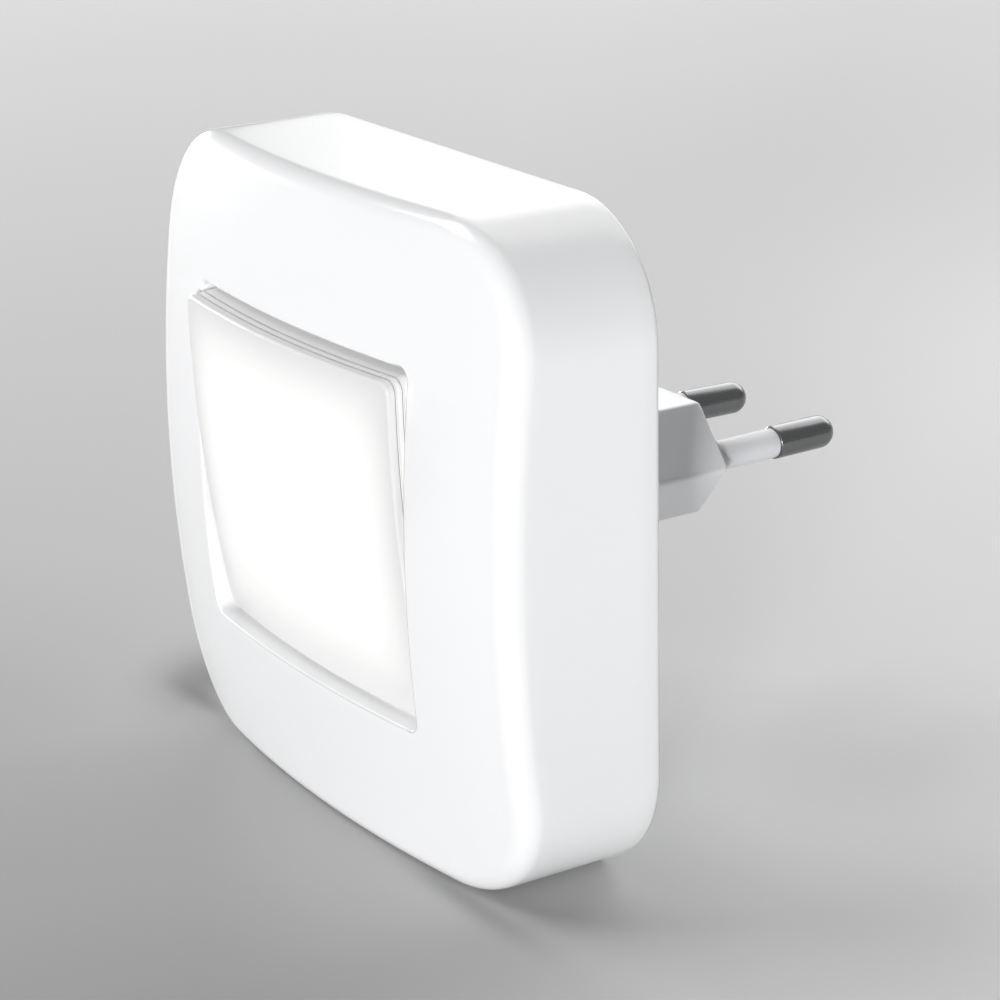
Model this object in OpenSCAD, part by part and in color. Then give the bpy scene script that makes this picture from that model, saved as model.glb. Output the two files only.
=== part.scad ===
// Plug-in night light: a domed square housing with a lit rocker panel in front
// and a two-pin plug body behind. Millimetres. X points right seen from the front,
// Y points into the wall, Z points up. The origin is the middle of the plug's end face.

/* [Housing] */
// Width of the housing
housing_w = 78; // [74:1:96]
// Height of the housing
housing_h = 76; // [72:1:96]
// Depth from the back face to the crown of the domed front
housing_depth = 23.8; // [23:0.2:34]
// Radius of the four corners seen from the front
corner_r = 14; // [8:0.5:18]
// Wall thickness of the front cover
wall = 2; // [1.6:0.1:2.6]
// Radius of the domed front
dome_r = 200; // [180:5:400]
// Thickness of the back plate
plate_t = 2.5; // [2.2:0.1:3.2]
// Gap around the back plate
plate_gap = 0.15; // [0.1:0.05:0.3]
// Height of the housing's middle above the plug's axis
housing_rise = 1.4; // [0:0.2:6]

/* [Plug] */
// Reach of the plug body behind the back face
plug_len = 27.6; // [24:0.2:36]
// Width that the plug body has to spare beyond the pins' inner ends
plug_w = 8.63; // [8.43:0.2:16.43]
// Width of the plug body's top and bottom flats
plug_flat_w = 16.7; // [16:0.2:20]
// Height of the plug body
plug_h = 13.7; // [13:0.1:15]
// Side wall of the plug body
plug_wall = 1.3; // [1.1:0.1:1.5]
// End wall of the plug body
plug_end_t = 2; // [1.6:0.1:3]
// Length of the insulating block that carries the pins
carrier_len = 10; // [7:0.5:12]
// Gap around the insulating block
carrier_gap = 0.1; // [0.05:0.05:0.2]

/* [Pins] */
// Diameter of the bare pin ends
pin_d = 4; // [3.8:0.1:4.4]
// Diameter of the pin core inside its sleeve
pin_core_d = 2.8; // [2.4:0.1:3]
// Length of a pin beyond the plug body
pin_len = 19; // [17:0.5:21]
// Length of a pin's bare end
pin_bare = 9; // [7:0.5:11]
// Length of a pin inside the plug body
pin_root = 15; // [13:0.5:17]
// Spacing of the pins at the plug body
pin_base_spacing = 18.6; // [18:0.1:19.2]
// Spacing of the pins at their tips
pin_tip_spacing = 17.5; // [17:0.1:18.5]
// Diameter of the insulating sleeve
sleeve_d = 3.6; // [3.4:0.1:3.9]
// Diameter of the collar at the foot of the sleeve
collar_d = 5.2; // [4.8:0.1:5.8]
// Height of that collar above the plug's end face
collar_h = 0.8; // [0.4:0.1:1.4]
// Clearance around pins, sleeves and screws where they are seated
seat_gap = 0.02; // [0.01:0.01:0.05]
// Diameter of the two mains leads
lead_d = 1.8; // [1.4:0.1:2.2]

/* [Rocker] */
// Width of the opening in the front
opening_w = 46.4; // [40:0.4:48]
// Height of the opening in the front
opening_h = 41; // [38:0.4:44]
// Height of the opening's middle above the housing's middle
opening_rise = 0.9; // [-1:0.1:2]
// Radius of the opening's corners
opening_r = 1.5; // [1:0.1:3]
// Wall of the collar around the opening
rim_t = 1.8; // [1.5:0.1:2.4]
// Depth of that collar from the crown of the front
rim_depth = 11.4; // [11:0.1:13]
// Gap between the rocker and the sides of the opening
rocker_gap_x = 0.4; // [0.3:0.05:0.8]
// Gap between the level rocker and the top and bottom of the opening
rocker_gap_z = 0.75; // [0.75:0.05:1.2]
// Thickness of the rocker's diffusing face
rocker_t = 2; // [1.6:0.1:2.6]
// Thickness of the rocker's skirt
skirt_t = 1.6; // [1.2:0.1:2]
// Depth of the skirt behind the rocker's axis
skirt_back = 2.2; // [1.8:0.1:2.4]
// Radius of the rocker's domed face
rocker_dome_r = 200; // [180:5:400]
// How far the level rocker's crown lies behind the housing's crown
rocker_sink = 0.1; // [0:0.1:0.8]
// Depth of the rocker's axis behind the housing's crown
axis_depth = 6; // [5.8:0.1:6.4]
// Tilt of the rocker to either side of level, in degrees
rocker_tilt = 5.9; // [4:0.1:6]

/* [Pivot] */
// Diameter of the pivot pins
pivot_d = 2; // [1.6:0.1:2.2]
// Radial running clearance of the pivot pins in the collar
pivot_clear = 0.05; // [0.03:0.01:0.08]
// Depth of the pivot pins in the rocker
pivot_bite = 3; // [2.4:0.1:3.2]
// Diameter of the pivot pins' heads
pivot_head_d = 3.4; // [3:0.1:3.8]
// Thickness of the pivot pins' heads
pivot_head_t = 0.8; // [0.6:0.1:1.2]
// Side play between the pivot heads and the collar
pivot_play = 0.25; // [0.2:0.05:0.4]
// Diameter of the bosses that hold the pivot pins in the rocker
boss_d = 4.2; // [4:0.1:4.4]

/* [Switch] */
// Distance of the switch's middle from the side of the opening
switch_x = 4.8; // [4.6:0.1:5.4]
// Length of the slide switch body
switch_l = 8.6; // [8:0.1:9]
// Width of the slide switch body
switch_w = 3.6; // [3.2:0.1:3.8]
// Height of the slide switch body off the board
switch_h = 3.5; // [3.2:0.1:3.8]
// Length of the switch knob that stands in the fork
knob_h = 2.9; // [2.7:0.1:3.1]
// Width of the switch knob sideways
knob_w = 2.2; // [1.8:0.1:2.4]
// Thickness of the switch knob along its travel
knob_t = 1.6; // [1.4:0.1:1.8]
// Gap between the knob and each side of the fork
fork_gap = 0.4; // [0.35:0.05:0.5]
// Thickness of each prong of the fork
prong_t = 1.2; // [1:0.1:1.4]
// Width of the fork sideways
fork_w = 3; // [2.6:0.1:3.2]
// Gap between the prongs' ends and the switch body
prong_gap = 0.55; // [0.5:0.05:0.7]

/* [Light box] */
// Thickness of the light box floor
box_floor = 1.3; // [1:0.1:1.4]
// Height of the light box rim
box_rim = 1.1; // [1:0.1:1.3]
// Width of the LED board
led_board_w = 27; // [24:0.5:30]
// Height of the LED board
led_board_h = 29; // [26:0.5:32]
// Thickness of the LED board
led_board_t = 1; // [0.8:0.1:1]
// Side of one square LED
led_side = 3.5; // [2.8:0.1:4]
// Thickness of one LED
led_t = 0.8; // [0.6:0.1:1]
// Columns of LEDs
led_columns = 3; // [2:1:4]
// Rows of LEDs
led_rows = 2; // [2:1:3]
// Diameter of the two LED leads
led_lead_d = 1; // [0.8:0.1:1.2]
// Spacing of the two LED leads
led_lead_spacing = 4; // [3:0.5:6]

/* [Main board] */
// Gap from the main board's edge to the front cover's wall
board_margin = 3.4; // [2.4:0.2:4]
// Thickness of the main board
board_t = 1.6; // [1.2:0.1:1.6]
// Room behind the main board for solder joints
board_back = 2.1; // [1.8:0.1:2.3]
// Width of the film capacitor
film_w = 13; // [10:0.5:15]
// Thickness of the film capacitor
film_t = 6; // [5:0.5:7]
// Height of the film capacitor off the board
film_h = 9; // [7:0.5:10]
// Diameter of the electrolytic capacitor
can_d = 8; // [6.3:0.1:8.4]
// Height of the electrolytic capacitor off the board
can_h = 9.5; // [7:0.5:10]
// Diameter of the varistor
varistor_d = 7; // [5:0.5:8]
// Thickness of the varistor
varistor_t = 3.2; // [2.6:0.1:4]
// Distance of the film capacitor from the middle
film_from_middle = 6.5; // [5:0.5:8]
// Distance of the electrolytic capacitor from the middle
can_from_middle = 9; // [8:0.5:12]
// Width of the bridge rectifier
bridge_w = 6.4; // [5:0.1:6.6]
// Height of the bridge rectifier off the board
bridge_t = 2.6; // [2:0.1:3]
// Breadth of the bridge rectifier
bridge_h = 4.8; // [4:0.1:5]
// Length of a resistor's body
resistor_l = 6.2; // [5:0.1:7]
// Diameter of a resistor's body
resistor_d = 2.4; // [2:0.1:2.8]
// Diameter of a resistor's legs
leg_d = 0.6; // [0.5:0.1:0.8]

/* [Fasteners] */
// Diameter of the cover screws
cover_screw_d = 2.6; // [2.2:0.1:3]
// Bite of the cover screws in their bosses
cover_bite = 8; // [7:0.5:10]
// Diameter of the cover screws' heads
cover_head_d = 4.6; // [4.2:0.1:5]
// Diameter of the bosses for the cover screws
cover_boss_d = 6.2; // [5.8:0.1:6.8]
// Diameter of the small screws inside
small_screw_d = 1.8; // [1.6:0.1:2]
// Bite of the small screws in their bosses
small_bite = 4.4; // [4:0.2:5]
// Diameter of the small screws' heads
small_head_d = 3.2; // [3:0.1:3.6]
// Thickness of every screw head
head_t = 1.2; // [1:0.1:1.4]
// Diameter of the bosses for the small screws
small_boss_d = 4.6; // [4.2:0.1:5]
// Clearance around a screw where it passes through a piece
screw_clear = 0.2; // [0.1:0.05:0.3]
// Clearance around a screw head in its counterbore
head_clear = 0.25; // [0.15:0.05:0.4]

/* [Hidden] */
$fn = 48;
fine = 200;
over = 1;

// Planes along Y, from the wall towards the room
y_back = -plug_len;
y_plate = y_back - plate_t;
y_board = y_plate - board_back;
y_board_front = y_board - board_t;
y_crown = y_back - housing_depth;
y_axis = y_crown + axis_depth;
y_rim = y_crown + rim_depth;
y_floor = y_rim + box_rim;
y_box_back = y_floor + box_floor;
y_led = y_floor - led_board_t;

// Pins: they lean towards each other, and the plug body is as wide as their inner ends need
toe_in = atan((pin_base_spacing - pin_tip_spacing) / 2 / (pin_len - pin_d / 2));
pin_root_spacing = pin_base_spacing + 2 * pin_root * tan(toe_in);
plug_across = pin_root_spacing + plug_w;

// Heights of the housing's and the opening's middles
z_house = housing_rise;
z_open = housing_rise + opening_rise;

// Rocker: its bosses end inside the skirt's outer face
boss_floor = 1;
boss_inset = 0.4;
pin_end_gap = 0.1;
rocker_w = opening_w - 2 * rocker_gap_x;
rocker_h = opening_h - 2 * rocker_gap_z;
rocker_r = opening_r - rocker_gap_x + pin_end_gap;
rocker_front = axis_depth - rocker_sink;
boss_root = rocker_w / 2 - pivot_bite - boss_floor;
boss_end = rocker_w / 2 - boss_inset;

// Clearances around the moving switch and its fork
knob_room = 0.3;
knob_root = 1;
slot_gap = 0.2;
face_bite = 0.3;
window_gap = 0.7;

// Slide switch: its knob stands in the fork, and its travel follows the fork's swing
switch_place = opening_w / 2 - switch_x;
y_switch = y_board_front - switch_h;
y_knob = y_switch - knob_h;
prong_end = y_switch - prong_gap - y_axis;
slot_root = y_knob - knob_room - y_axis;
arm_len = (y_knob - y_axis + prong_end) / 2;
knob_travel = 2 * arm_len * sin(rocker_tilt);
fork_h = knob_t + 2 * (fork_gap + prong_t);
fork_l = prong_end + rocker_front - rocker_t - face_bite;
window_w = fork_w + 2 * window_gap;
window_h = fork_h + 2 * prong_end * sin(rocker_tilt) + 2 * window_gap;

// Inner sizes of the front cover and the outline of the boards
inner_w = housing_w - 2 * wall;
inner_h = housing_h - 2 * wall;
inner_r = corner_r - wall;
board_w = inner_w - 2 * board_margin;
board_h = inner_h - 2 * board_margin;
board_r = 3;
cover_boss_inset = 2.4;
cover_boss_x = inner_w / 2 - cover_boss_d / 2 - cover_boss_inset;
cover_boss_z = inner_h / 2 - cover_boss_d / 2 - cover_boss_inset;
box_w = opening_w + 2 * rim_t;
box_h = opening_h + 2 * rim_t;
boss_blend = 0.6;
boss_from_corner = 5.5;
box_boss_x = box_w / 2 + small_boss_d / 2 - boss_blend;
box_boss_z = opening_h / 2 - boss_from_corner;
post_from_edge = 4;
post_x = board_w / 2 - post_from_edge;
post_z = 12;
post_bite = board_back + plate_t / 2;
boss_hole_gap = 0.6;
bite_gap = 0.3;
lead_gap = 0.05;
sleeve_root_gap = 0.1;
led_board_r = 1;
led_lead_inset = 2;
leg_out = 1.2;
axial_lift = 0.5;
axial_step = resistor_l + 4;
fuse_shift = 1.5;
fuse_longer = 1;
fuse_thicker = 0.6;
ring_low = z_open - box_h / 2;
ring_high = z_open + box_h / 2;
low_row = (ring_low + z_house - inner_h / 2) / 2;
high_row = (ring_high + z_house + inner_h / 2) / 2;
side_row = (box_w / 2 + inner_w / 2) / 2;

// A prism that fills from front to back along Y, drawn from a flat shape in X and Z
module prism_y(front, back) {
    translate([0, back, 0]) rotate([90, 0, 0]) linear_extrude(back - front) children();
}

// A rod along Y
module rod_y(d, front, back) {
    translate([0, back, 0]) rotate([90, 0, 0]) cylinder(d = d, h = back - front);
}

// A rod along X
module rod_x(d, from, to) {
    translate([from, 0, 0]) rotate([0, 90, 0]) cylinder(d = d, h = to - from);
}

// A square outline with rounded corners
module rounded(w, h, r) {
    square([w - 2 * r, h], center = true);
    square([w, h - 2 * r], center = true);
    for (sx = [-1, 1], sz = [-1, 1])
        translate([sx * (w / 2 - r), sz * (h / 2 - r)]) circle(r);
}

// A block whose back lies at zero
module box_at(w, d, h) {
    translate([-w / 2, -d, -h / 2]) cube([w, d, h]);
}

// Everything behind a domed surface whose crown lies at y
module behind_dome(crown, r) {
    translate([0, crown + r, 0]) sphere(r, $fn = fine);
}

module at_housing() {
    translate([0, 0, z_house]) children();
}

module at_opening() {
    translate([0, 0, z_open]) children();
}

// The four mirrored places of a point
module four(x, z) {
    for (sx = [-1, 1], sz = [-1, 1]) translate([sx * x, 0, sz * z]) children();
}

// The plug body's six-sided section, moved inwards by a wall
module plug_outline(inset) {
    slope = (plug_across - plug_flat_w) / plug_h;
    half = plug_across / 2 - inset / cos(atan(slope));
    tall = plug_h / 2 - inset;
    flat = half - tall * slope;
    polygon([[half, 0], [flat, tall], [-flat, tall], [-half, 0], [-flat, -tall], [flat, -tall]]);
}

// Places something along a pin's own axis, with the plug's end face at its zero
module on_pin(side) {
    translate([side * pin_base_spacing / 2, 0, 0]) rotate([0, 0, side * toe_in]) children();
}

// Places the rocker's own frame on its axis, tilted as it rests with its foot pressed in
module on_axis() {
    translate([0, y_axis, z_open]) rotate([rocker_tilt, 0, 0]) children();
}

// A screw whose head seats at zero and whose shank points into the room
module screw(d, l, head_d) {
    rod_y(d, -l, 0);
    rod_y(head_d, 0, head_t);
}

module front_shell() {
    difference() {
        intersection() {
            prism_y(y_crown, y_back) rounded(housing_w, housing_h, corner_r);
            behind_dome(y_crown, dome_r);
        }
        intersection() {
            prism_y(y_crown, y_back + over) rounded(inner_w, inner_h, inner_r);
            behind_dome(y_crown + wall, dome_r - wall);
        }
    }
}

module front_cover() color("white") {
    difference() {
        union() {
            at_housing() front_shell();
            intersection() {
                union() {
                    at_opening() prism_y(y_crown, y_rim) rounded(box_w, box_h, opening_r + rim_t);
                    at_opening() four(box_boss_x, box_boss_z) rod_y(small_boss_d, y_crown, y_rim);
                    at_housing() four(cover_boss_x, cover_boss_z) rod_y(cover_boss_d, y_crown, y_plate);
                }
                at_housing() behind_dome(y_crown + wall / 2, dome_r - wall / 2);
            }
        }
        at_opening() prism_y(y_crown - over, y_rim + over) rounded(opening_w, opening_h, opening_r);
        translate([0, y_axis, z_open])
            rod_x(pivot_d + 2 * pivot_clear, -box_w / 2 - over, box_w / 2 + over);
        at_opening() four(box_boss_x, box_boss_z)
            rod_y(small_screw_d + 2 * seat_gap, y_rim - small_bite, y_rim + over);
        at_housing() four(cover_boss_x, cover_boss_z)
            rod_y(cover_screw_d + 2 * seat_gap, y_plate - cover_bite, y_plate + over);
    }
}

module rear_cover() color("white") {
    difference() {
        union() {
            at_housing() prism_y(y_plate, y_back)
                rounded(inner_w - 2 * plate_gap, inner_h - 2 * plate_gap, inner_r - plate_gap);
            prism_y(y_plate, 0) plug_outline(0);
            at_housing() four(post_x, post_z) rod_y(small_boss_d, y_board, y_plate + over);
        }
        prism_y(y_plate - over, -plug_end_t) plug_outline(plug_wall);
        for (side = [-1, 1]) on_pin(side) rod_y(collar_d + 2 * seat_gap, -2 * plug_end_t, over);
        at_housing() four(cover_boss_x, cover_boss_z) {
            rod_y(cover_screw_d + 2 * screw_clear, y_plate - over, y_back);
            rod_y(cover_head_d + 2 * head_clear, y_back - head_t, y_back + over);
        }
        at_housing() four(post_x, post_z)
            rod_y(small_screw_d + 2 * seat_gap, y_board - over, y_board + post_bite);
    }
}

module pin_carrier() color("dimgray") {
    difference() {
        prism_y(-plug_end_t - carrier_len, -plug_end_t) plug_outline(plug_wall + carrier_gap);
        for (side = [-1, 1]) on_pin(side)
            rod_y(pin_core_d + 2 * seat_gap, -2 * pin_root, over);
    }
}

module contact_pin(side) color("silver") {
    on_pin(side) {
        rod_y(pin_core_d, -pin_root, pin_len - pin_bare + over);
        rod_y(pin_d, pin_len - pin_bare, pin_len - pin_d / 2);
        translate([0, pin_len - pin_d / 2, 0]) sphere(d = pin_d);
    }
}

module pin_sleeve(side) color("whitesmoke") {
    on_pin(side) difference() {
        union() {
            rod_y(sleeve_d, sleeve_root_gap - plug_end_t, pin_len - pin_bare);
            rod_y(collar_d, sleeve_root_gap - plug_end_t, collar_h);
        }
        rod_y(pin_core_d + 2 * seat_gap, -plug_end_t - over, pin_len - pin_bare + over);
    }
}

// A mains lead: straight from the pin's inner end to the back of the main board
module lead(side, tint) color(tint) {
    pin_end_x = side * (pin_base_spacing / 2 + pin_root * sin(toe_in));
    translate([pin_end_x, 0, 0]) rod_y(lead_d, y_board, -pin_root - lead_gap);
}

module rocker_shell() {
    difference() {
        intersection() {
            prism_y(-rocker_front, skirt_back) rounded(rocker_w, rocker_h, rocker_r);
            behind_dome(-rocker_front, rocker_dome_r);
        }
        intersection() {
            prism_y(-rocker_front, skirt_back + over)
                square([rocker_w - 2 * skirt_t, rocker_h - 2 * skirt_t], center = true);
            behind_dome(-rocker_front + rocker_t, rocker_dome_r - rocker_t);
        }
    }
}

module rocker_fork() {
    difference() {
        translate([switch_place, prong_end, 0]) box_at(fork_w, fork_l, fork_h);
        translate([switch_place, prong_end + over, 0])
            box_at(fork_w + over, prong_end + over - slot_root, knob_t + 2 * fork_gap);
    }
}

// The webs that join the two bosses to the rocker's face
module rocker_webs() {
    web_w = boss_end - boss_root;
    intersection() {
        for (side = [-1, 1]) translate([side * (boss_root + web_w / 2), 0, 0])
            box_at(web_w, rocker_front, boss_d);
        behind_dome(-rocker_front + rocker_t / 2, rocker_dome_r - rocker_t / 2);
    }
}

module rocker_panel() color("ivory") {
    on_axis() difference() {
        union() {
            rocker_shell();
            rod_x(boss_d, boss_root, boss_end);
            rod_x(boss_d, -boss_end, -boss_root);
            rocker_webs();
            rocker_fork();
        }
        rod_x(pivot_d + 2 * seat_gap, rocker_w / 2 - pivot_bite, rocker_w / 2 + over);
        rod_x(pivot_d + 2 * seat_gap, -rocker_w / 2 - over, -rocker_w / 2 + pivot_bite);
    }
}

module pivot_pins() color("silver") {
    head_at = box_w / 2 + pivot_play;
    on_axis() for (turn = [0, 180]) rotate([0, 0, turn]) {
        rod_x(pivot_d, rocker_w / 2 - pivot_bite + pin_end_gap, head_at + pivot_head_t / 2);
        rod_x(pivot_head_d, head_at, head_at + pivot_head_t);
    }
}

module light_box() color("white") {
    difference() {
        union() {
            at_opening() prism_y(y_rim, y_box_back) rounded(box_w, box_h, opening_r + rim_t);
            at_opening() four(box_boss_x, box_boss_z) rod_y(small_boss_d, y_rim, y_box_back);
        }
        at_opening() prism_y(y_rim - over, y_floor)
            rounded(opening_w, opening_h, opening_r);
        at_opening() four(box_boss_x, box_boss_z)
            rod_y(small_screw_d + 2 * screw_clear, y_rim - over, y_box_back + over);
        translate([switch_place, y_box_back + over, z_open])
            box_at(window_w, box_floor + 2 * over, window_h);
        led_lead_places() rod_y(led_lead_d + 2 * screw_clear, y_floor - over, y_box_back + over);
    }
}

module light_box_screws() color("silver") {
    at_opening() four(box_boss_x, box_boss_z) translate([0, y_box_back, 0])
        screw(small_screw_d, box_rim + box_floor + small_bite - bite_gap, small_head_d);
}

module led_board() color("white") {
    at_opening() prism_y(y_led, y_floor) rounded(led_board_w, led_board_h, led_board_r);
}

module leds() color("gold") {
    step_x = led_board_w / led_columns;
    step_z = led_board_h / (led_rows + 1);
    at_opening() for (i = [0:led_columns - 1], k = [1:led_rows])
        translate([(i + 0.5) * step_x - led_board_w / 2, y_led, k * step_z - led_board_h / 2])
            box_at(led_side, led_t, led_side);
}

// Where the LED leads leave the LED board
module led_lead_places() {
    for (side = [-1, 1])
        translate([side * led_lead_spacing / 2, 0, z_open - led_board_h / 2 + led_lead_inset]) children();
}

module led_leads() color("firebrick") {
    led_lead_places() rod_y(led_lead_d, y_floor, y_board_front);
}

module main_board() color("darkgreen") {
    difference() {
        at_housing() prism_y(y_board_front, y_board) rounded(board_w, board_h, board_r);
        at_housing() four(cover_boss_x, cover_boss_z)
            rod_y(cover_boss_d + 2 * boss_hole_gap, y_board_front - over, y_board + over);
        at_housing() four(post_x, post_z)
            rod_y(small_screw_d + 2 * screw_clear, y_board_front - over, y_board + over);
    }
}

module board_screws() color("silver") {
    at_housing() four(post_x, post_z) translate([0, y_board_front, 0]) mirror([0, 1, 0])
        screw(small_screw_d, board_t + post_bite - bite_gap, small_head_d);
}

module film_capacitor() color("goldenrod") {
    translate([-film_w / 2 - film_from_middle, y_board_front, low_row]) box_at(film_w, film_h, film_t);
}

module electrolytic_capacitor() color("midnightblue") {
    translate([can_d / 2 + can_from_middle, 0, low_row])
        rod_y(can_d, y_board_front - can_h, y_board_front);
}

module bridge_rectifier() color("black") {
    translate([(can_from_middle - film_from_middle) / 2, y_board_front, low_row])
        box_at(bridge_w, bridge_t, bridge_h);
}

module varistor() color("royalblue") {
    translate([-side_row, y_board_front - varistor_d / 2, z_open])
        rod_x(varistor_d, -varistor_t / 2, varistor_t / 2);
}

// An axial component lying on the main board, with its two bent legs
module axial(l, d) {
    leg_x = l / 2 + leg_out;
    body_y = y_board_front - d / 2 - axial_lift;
    translate([0, body_y, 0]) {
        rod_x(d, -l / 2, l / 2);
        rod_x(leg_d, -leg_x, leg_x);
    }
    for (side = [-1, 1]) translate([side * leg_x, 0, 0]) {
        rod_y(leg_d, body_y, y_board_front);
        translate([0, body_y, 0]) sphere(d = leg_d);
    }
}

module resistors() color("tan") {
    for (i = [0:2]) translate([(i - 1.5) * axial_step, 0, high_row])
        axial(resistor_l, resistor_d);
}

module fuse_resistor() color("seagreen") {
    translate([1.5 * axial_step + fuse_shift, 0, high_row])
        axial(resistor_l + fuse_longer, resistor_d + fuse_thicker);
}

module slide_switch_body() color("dimgray") {
    slot_h = knob_t + knob_travel + 2 * slot_gap;
    difference() {
        translate([switch_place, y_board_front, z_open]) box_at(switch_w, switch_h, switch_l);
        translate([switch_place, y_switch + knob_root + slot_gap, z_open])
            box_at(knob_w + 2 * slot_gap, knob_root + slot_gap + over, slot_h);
    }
}

module slide_switch_knob() color("black") {
    translate([switch_place, y_switch + knob_root, z_open + knob_travel / 2])
        box_at(knob_w, knob_h + knob_root, knob_t);
}

module slide_switch_tabs() color("silver") {
    tab_l = 1.2;
    tab_t = 0.5;
    tab_w = 0.8;
    tab_step = 2.5;
    for (i = [-1:1])
        translate([switch_place + switch_w / 2 + tab_l / 2, y_board_front, z_open + i * tab_step])
            box_at(tab_l, tab_t, tab_w);
}

module cover_screws() color("silver") {
    at_housing() four(cover_boss_x, cover_boss_z) translate([0, y_back - head_t, 0])
        screw(cover_screw_d, cover_bite + plate_t - head_t - bite_gap, cover_head_d);
}

front_cover();
rear_cover();
pin_carrier();
contact_pin(-1);  // contact_pin_left
contact_pin(1);  // contact_pin_right
pin_sleeve(-1);  // pin_sleeve_left
pin_sleeve(1);  // pin_sleeve_right
lead(-1, "saddlebrown");  // lead_live
lead(1, "royalblue");  // lead_neutral
rocker_panel();
pivot_pins();
light_box();
light_box_screws();
led_board();
leds();
led_leads();
main_board();
board_screws();
film_capacitor();
electrolytic_capacitor();
bridge_rectifier();
varistor();
resistors();
fuse_resistor();
slide_switch_body();
slide_switch_knob();
slide_switch_tabs();
cover_screws();
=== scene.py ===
import math

import bmesh
import bpy
import numpy as np
from mathutils import Matrix, Vector
from mathutils.geometry import delaunay_2d_cdt


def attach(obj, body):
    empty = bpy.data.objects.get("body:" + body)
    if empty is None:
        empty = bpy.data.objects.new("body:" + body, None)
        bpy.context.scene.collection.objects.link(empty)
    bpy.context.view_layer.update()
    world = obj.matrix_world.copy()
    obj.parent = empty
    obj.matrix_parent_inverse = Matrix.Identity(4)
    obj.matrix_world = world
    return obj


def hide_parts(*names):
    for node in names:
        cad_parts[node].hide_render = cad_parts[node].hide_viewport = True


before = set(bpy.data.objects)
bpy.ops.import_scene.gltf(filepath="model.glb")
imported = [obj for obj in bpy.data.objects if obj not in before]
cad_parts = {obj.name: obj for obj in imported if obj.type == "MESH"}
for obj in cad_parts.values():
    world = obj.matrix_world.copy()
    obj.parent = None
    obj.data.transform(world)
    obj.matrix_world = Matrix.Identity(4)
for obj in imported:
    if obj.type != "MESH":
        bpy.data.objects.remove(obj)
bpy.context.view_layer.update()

# ---------------------------------------------------------------- sizes, in millimetres
# X points right seen from the room, Y points into the wall, Z points up, and the
# origin is the middle of the plug's end face.
MM = 0.001
# Housing: outline, walls, the heights of its middle and of the opening's, and depths of its faces
HOUSING_W, HOUSING_H, CORNER_R = 78.0, 76.0, 14.0
WALL, DOME_R = 2.0, 190.0
Z_HOUSE, Z_OPEN = 1.4, 2.3
Y_BACK, Y_PLATE, Y_BOARD = -27.6, -30.1, -32.2
Y_CROWN, Y_AXIS, Y_RIM = -51.4, -45.4, -40.0
SIDE_EDGE, TOP_EDGE, BACK_EDGE = 3.1, 2.6, 0.69
SHOULDER, SHOULDER_X = 0.6, 24.0
OPENING_W, OPENING_H, OPENING_R = 46.4, 41.0, 1.5
OPENING_EDGE, RIM_T = 0.3, 1.8
PLATE_GAP, PLATE_EDGE = 0.15, 0.25
# Rocker: places count from the axis that it tips about
PANEL_W, PANEL_H, PANEL_R = 45.6, 39.5, 1.4
PANEL_FRONT, PANEL_BACK, PANEL_T = -6.0, 2.2, 2.0
PANEL_EDGE, SKIRT_T, SKIRT_R = 0.4, 1.6, 0.4
LENS_T, BEAD_W, GROOVE_W, GROOVE_DEEP = 0.95, 0.6, 0.3, 0.25
GROOVES = (LENS_T, LENS_T + GROOVE_W + BEAD_W)
FORK_X0, FORK_X1, FORK_HALF_H, FORK_GAP = 16.9, 19.9, 2.4, 1.2
FORK_ROOT, FORK_CROTCH, FORK_TIP, FORK_EDGE = -3.2, 4.9, 7.55, 0.15
HUB_X0, HUB_X1, HUB_R = 18.8, 22.4, 2.1
TILT = math.radians(5.9)
# Plug and pins: lengths count from the plug's end face
PLUG_W, PLUG_FLAT, PLUG_H = 28.2, 16.7, 13.7
PLUG_WALL, PLUG_END, PLUG_EDGE, CAVITY_R, END_R = 1.3, 2.0, 0.7, 0.3, 0.02
PIN_X, PIN_LEAN = 9.3, math.atan(0.55 / 17)
PIN_R, CORE_R, SLEEVE_R, COLLAR_R = 2.0, 1.4, 1.8, 2.6
PIN_END, BARE_START, PIN_ROOT, COLLAR_H = 19.0, 10.0, 15.0, 0.8
# Screws, and the bosses and posts that they go into. What ends in BEHIND counts from the crown.
SCREW_X, SCREW_Z, HEAD_R, HEAD_T = 31.5, 30.5, 2.3, 1.2
SCREW_R, SCREW_L = 1.3, 9.0
SINK_R, SHANK_HOLE_R = 2.55, 1.5
HEAD_SINK, HEAD_DOME = 0.12, 0.22
CROSS_HALF_W, CROSS_REACH, CROSS_DEEP, CROSS_MIDDLE = 0.34, 1.45, 0.8, 1.0
POST_X, POST_Z, POST_R, SMALL_BORE_R = 29.6, 12.0, 2.3, 0.92
BOSS_R, BOSS_BORE_R, BOSS_BEHIND = 3.1, 1.32, 7.9
BOX_BOSS_X, BOX_BOSS_Z, BOX_BOSS_R, BOX_BOSS_BEHIND = 26.7, 15.0, 2.3, 3.2
FLOOR_Z = -36.6

# ---------------------------------------------------------------- view and room
# The camera looks towards the middle of the housing's back, DISTANCE away, from AZIMUTH, which
# counts from the front towards the right, and from ELEVATION above level. In its view that
# point lies SHIFT_X to the right of the middle and SHIFT_Y above it. FOCAL is the focal length
# in steps of which the view has VIEW_W across.
AZIMUTH, ELEVATION, ROLL = math.radians(57.765), math.radians(18.922), math.radians(-1.224)
DISTANCE, SHIFT_X, SHIFT_Y = 355.568, -3.956, 3.364
FOCAL, VIEW_W, SENSOR_W = 3069.278, 1000.0, 36.0
# The camera's right, laid on the floor
RIGHT_X, RIGHT_Y = 0.53, 0.85
# The room's light on surfaces, as shiny ones reflect it, and as it is seen past the floor
ROOM_TONE, SHINE_TONE, FAR_TONE = 0.03, 0.34, 0.62


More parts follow.
